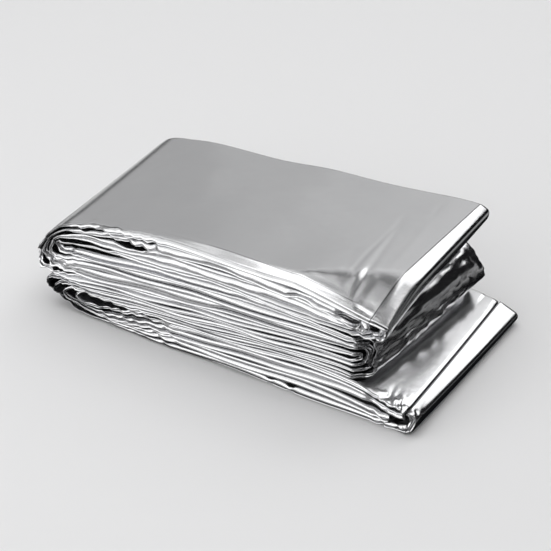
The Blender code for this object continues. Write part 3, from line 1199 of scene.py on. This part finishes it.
@dataclass(frozen=True)
class SilverFilm:
    """Metallised polyester film: bright metal with haze, drawing lines, fine crinkles and thin lines of
    painted shade along its folds.
    """

    pale: tuple[float, float, float, float] = (0.88, 0.88, 0.89, 1.0)
    dull: tuple[float, float, float, float] = (0.76, 0.765, 0.78, 1.0)
    # Painted shade: a near-black colour, its strength and its line width, laid along the folds where shade
    # falls.
    creased: tuple[float, float, float, float] = (0.06, 0.06, 0.065, 1.0)
    crease_depth: float = 0.8
    crease_width: float = 0.00022
    smooth: float = 0.14
    haze: float = 0.12
    # Places of the painted shade lines: the top bevel fold, the bottom bevel fold and the lid's front strip
    # crease.
    top_fold: tuple[float, float] = (0.06125, -0.0112)
    bottom_fold: tuple[float, float] = (0.07385, 0.026)
    strip_fold: float = -0.03635
    front_edge: tuple[float, float] = (-0.0375, -0.0355)
    relief_height: float = 0.0005

    def step(self, value: Wire, low: float, high: float) -> Wire:
        """Rise softly from 0 at low to 1 at high."""
        return value.graph.node("ShaderNodeMapRange", {"interpolation_type": "SMOOTHSTEP"}, {
            "Value": value, "From Min": low, "From Max": high, "To Min": 0.0, "To Max": 1.0})["Result"]

    def fold_line(self, across: Wire, at: float) -> Wire:
        """Draw a thin line of painted fold shade where a value is met."""
        return self.step(abs(across - at), self.crease_width, 0.3 * self.crease_width)

    def material(self) -> bpy.types.Material:
        """Build the finish.

        Returns:
            The material.
        """
        graph = Graph("silver_film")
        where = graph.node("ShaderNodeTexCoord", {}, {})["Object"]
        clouds = graph.node("ShaderNodeTexNoise", {}, {
            "Vector": where, "Scale": 38.0, "Detail": 4.0, "Roughness": 0.55})["Fac"]
        specks = graph.node("ShaderNodeTexNoise", {}, {
            "Vector": where, "Scale": 420.0, "Detail": 3.0, "Roughness": 0.6})["Fac"]
        drawn = graph.node("ShaderNodeMapping", {}, {"Vector": where, "Scale": (0.05, 1.0, 1.0)})["Vector"]
        lines = graph.node("ShaderNodeTexNoise", {}, {
            "Vector": drawn, "Scale": 1300.0, "Detail": 2.0, "Roughness": 0.5})["Fac"]
        crinkle = graph.node("ShaderNodeTexVoronoi", {"feature": "DISTANCE_TO_EDGE"}, {
            "Vector": where, "Scale": 210.0, "Randomness": 1.0})["Distance"]
        blotch = graph.node("ShaderNodeTexNoise", {}, {
            "Vector": where, "Scale": 120.0, "Detail": 5.0, "Roughness": 0.62})["Fac"]
        tone = graph.node("ShaderNodeMix", {"data_type": "RGBA"}, {
            "Factor": clouds * 0.8 + specks * 0.2, 6: self.pale, 7: self.dull})
        rough = self.smooth + self.haze * clouds + 0.05 * (specks - 0.5)
        place = graph.node("ShaderNodeSeparateXYZ", {}, {"Vector": where})
        x, depth, high = place["X"], place["Y"], place["Z"]
        top_x, top_lean = self.top_fold
        bottom_x, bottom_lean = self.bottom_fold
        # Painted shade: thin dark lines along the two bevel folds and the front strip crease, mixed into
        # the film's colour below.
        creased = (self.fold_line(x + depth * top_lean, top_x) * self.step(high, 0.034, 0.036)
                   + self.fold_line(x + depth * bottom_lean, bottom_x) * self.step(high, 0.012, 0.011)
                   + self.fold_line(depth, self.strip_fold) * self.step(high, 0.037, 0.039)
                   * self.step(x, -0.004, 0.004) * self.step(x, 0.055, 0.052) * 0.6)
        tone = graph.node("ShaderNodeMix", {"data_type": "RGBA"}, {
            "Factor": creased * self.crease_depth, 6: tone["Result"], 7: self.creased})
        edge = graph.node("ShaderNodeMapRange", {"interpolation_type": "SMOOTHSTEP"}, {
            "Value": depth, "From Min": self.front_edge[0], "From Max": self.front_edge[1],
            "To Min": 1.0, "To Max": 0.12})["Result"]
        relief = blotch * 0.07 + crinkle * 0.04 + lines * edge * 0.05
        bump = graph.node("ShaderNodeBump", {}, {
            "Strength": 1.0, "Distance": self.relief_height, "Height": relief})["Normal"]
        shader = graph.node("ShaderNodeBsdfPrincipled", {}, {
            "Base Color": tone["Result"], "Metallic": 1.0, "Roughness": rough, "Normal": bump})["BSDF"]
        graph.node("ShaderNodeOutputMaterial", {}, {"Surface": shader})
        return graph.material


@dataclass(frozen=True)
class FloorFinish:
    """Plain pale matt floor."""

    colour: tuple[float, float, float, float] = (0.8, 0.8, 0.805, 1.0)

    def material(self) -> bpy.types.Material:
        """Build the finish.

        Returns:
            The material.
        """
        graph = Graph("pale_floor")
        shader = graph.node("ShaderNodeBsdfPrincipled", {}, {
            "Base Color": self.colour, "Roughness": 0.8, "Specular IOR Level": 0.2})["BSDF"]
        graph.node("ShaderNodeOutputMaterial", {}, {"Surface": shader})
        return graph.material


@dataclass(frozen=True)
class Softbox:
    """An area light that looks at the packet from a direction."""

    name: str
    towards: tuple[float, float, float]
    distance: float
    width: float
    height: float
    radiance: float

    def place(self, target: Vector) -> None:
        """Put the light in the scene.

        Args:
            target: The point that it looks at.
        """
        lamp = lit_card(self.name, self.width, self.height, self.radiance)
        away = Vector(self.towards).normalized()
        lamp.location = target + away * self.distance
        lamp.rotation_euler = away.to_track_quat("Z", "Y").to_euler()


@dataclass(frozen=True)
class Reflector:
    """A lit card that lies on the floor and only shows in the film."""

    name: str
    centre: tuple[float, float]
    size: tuple[float, float]
    radiance: float

    def place(self) -> None:
        """Put the card in the scene, face up."""
        card = lit_card(self.name, *self.size, self.radiance)
        card.location = (*self.centre, MM)
        card.rotation_euler = (pi, 0.0, 0.0)
        card.visible_camera = False


@dataclass
class Studio:
    """The floor, the lights and the camera."""

    azimuth: float = 32.499
    elevation: float = 29.943
    distance: float = 394.699
    target: tuple[float, float, float] = (2.098, 0.0, 14.984)
    focal_px: float = 1100.0
    frame_px: float = 551.0
    sensor: float = 36.0
    floor_size: float = 12.0
    wash: float = 1.0
    wash_angle: float = 1.5
    aim_z: float = 0.02
    room: tuple[float, float, float, float] = (0.004, 0.004, 0.0045, 1.0)
    softboxes: tuple[Softbox, ...] = (
        Softbox("back_card", (-0.60, 0.68, 0.42), 1.35, 1.8, 1.1, 0.42),
        Softbox("back_card_middle", (-0.28, 0.83, 0.47), 1.3, 0.84, 0.9, 0.055),
        Softbox("back_card_inner", (-0.22, 0.85, 0.47), 1.25, 0.62, 0.9, 0.055),
        Softbox("back_card_right", (-0.16, 0.87, 0.47), 1.2, 0.44, 0.9, 0.055),
        Softbox("bevel_strip", (0.185, 0.675, 0.714), 1.15, 0.60, 0.76, 1.5),
        Softbox("top_strip", (0.24, 0.04, 0.97), 1.2, 0.5, 2.0, 1.1),
        Softbox("left_card", (-0.95, -0.05, 0.32), 1.4, 1.5, 0.8, 0.3),
        Softbox("right_front_card", (0.64, -0.70, 0.34), 1.4, 1.2, 0.8, 0.24),
        Softbox("right_back_card", (0.92, 0.28, 0.40), 1.4, 1.1, 0.6, 0.1),
        Softbox("overhead", (-0.36, -0.08, 0.94), 1.25, 1.2, 0.9, 0.58),
        Softbox("overhead_back", (-0.41, 0.45, 0.79), 1.3, 1.2, 0.27, 0.5),
        Softbox("front_fill", (-0.42, -0.56, 0.70), 1.3, 1.5, 0.34, 0.85),
        Softbox("key", (-0.45, -0.78, 0.43), 1.2, 1.6, 0.5, 1.5),
        Softbox("key_right", (0.20, -0.83, 0.52), 1.2, 0.55, 0.75, 1.1),
        Softbox("low_card", (-0.45, -0.89, 0.13), 1.15, 1.6, 0.2, 0.5),
    )
    reflectors: tuple[Reflector, ...] = (
        Reflector("front_reflector", (-0.07, -0.15), (0.32, 0.21), 0.42),
        Reflector("left_reflector", (-0.25, 0.05), (0.32, 0.5), 0.3),
        Reflector("back_reflector", (-0.12, 0.30), (0.3, 0.5), 0.3),
        Reflector("back_right_reflector", (0.24, 0.32), (0.38, 0.40), 0.24),
        Reflector("heel_reflector", (0.130, 0.06), (0.064, 0.18), 0.14),
        Reflector("right_reflector", (0.27, -0.04), (0.2, 0.24), 0.05),
    )

    def camera(self) -> None:
        """Set up the camera at the photograph's viewing angle."""
        a, e = radians(self.azimuth), radians(self.elevation)
        back = Vector((sin(a) * cos(e), -cos(a) * cos(e), sin(e)))
        data = bpy.data.cameras.new("camera")
        data.sensor_width = self.sensor
        data.lens = self.focal_px / self.frame_px * self.sensor
        data.clip_start = 0.01
        camera = shown_object("camera", data)
        camera.location = (Vector(self.target) + back * self.distance) * MM
        camera.rotation_euler = back.to_track_quat("Z", "Y").to_euler()
        bpy.context.scene.camera = camera

    def floor(self) -> None:
        """Lay the floor. Mirror reflections leave it out, so the film reflects a dark room."""
        half = self.floor_size / 2
        mesh = bpy.data.meshes.new("floor")
        corners = [(-half, -half, 0), (half, -half, 0), (half, half, 0), (-half, half, 0)]
        mesh.from_pydata(corners, [], [(0, 1, 2, 3)])
        mesh.materials.append(FloorFinish().material())
        floor = shown_object("floor", mesh)
        floor.visible_glossy = False

    def light(self) -> None:
        """Hang the softboxes, lay the cards, wash the floor with soft light and darken the room."""
        for softbox in self.softboxes:
            softbox.place(Vector((0.0, 0.0, self.aim_z)))
        for reflector in self.reflectors:
            reflector.place()
        wash = bpy.data.lights.new("floor_wash", "SUN")
        wash.energy, wash.angle = self.wash, self.wash_angle
        shown_object("floor_wash", wash).visible_glossy = False
        world = bpy.data.worlds.new("room")
        world.use_nodes = True
        world.node_tree.nodes["Background"].inputs["Color"].default_value = self.room
        bpy.context.scene.world = world
        bpy.context.scene.view_settings.view_transform = "Standard"

    def build(self) -> None:
        """Make the whole studio."""
        self.floor()
        self.light()
        self.camera()


def main() -> None:
    """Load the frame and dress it."""
    logging.basicConfig(level=logging.INFO, format="%(message)s")
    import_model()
    grid = FilmGrid()
    finish = SilverFilm().material()
    outer_end = grid.ends[OUTER_STRETCHES]
    log.info("path: %d rows, outer part ends at %d", grid.ends[-1], outer_end)
    FoldedFilm("foil_outer_plies", grid, slice(0, outer_end), 4, (0.33, 1.14)).build(finish)
    FoldedFilm("foil_inner_plies", grid, slice(outer_end - 1, grid.ends[-1]), 9, (0.33, 1.07),
               lid_points=12).build(finish)
    Studio().build()
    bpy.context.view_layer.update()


if __name__ == "__main__":
    main()
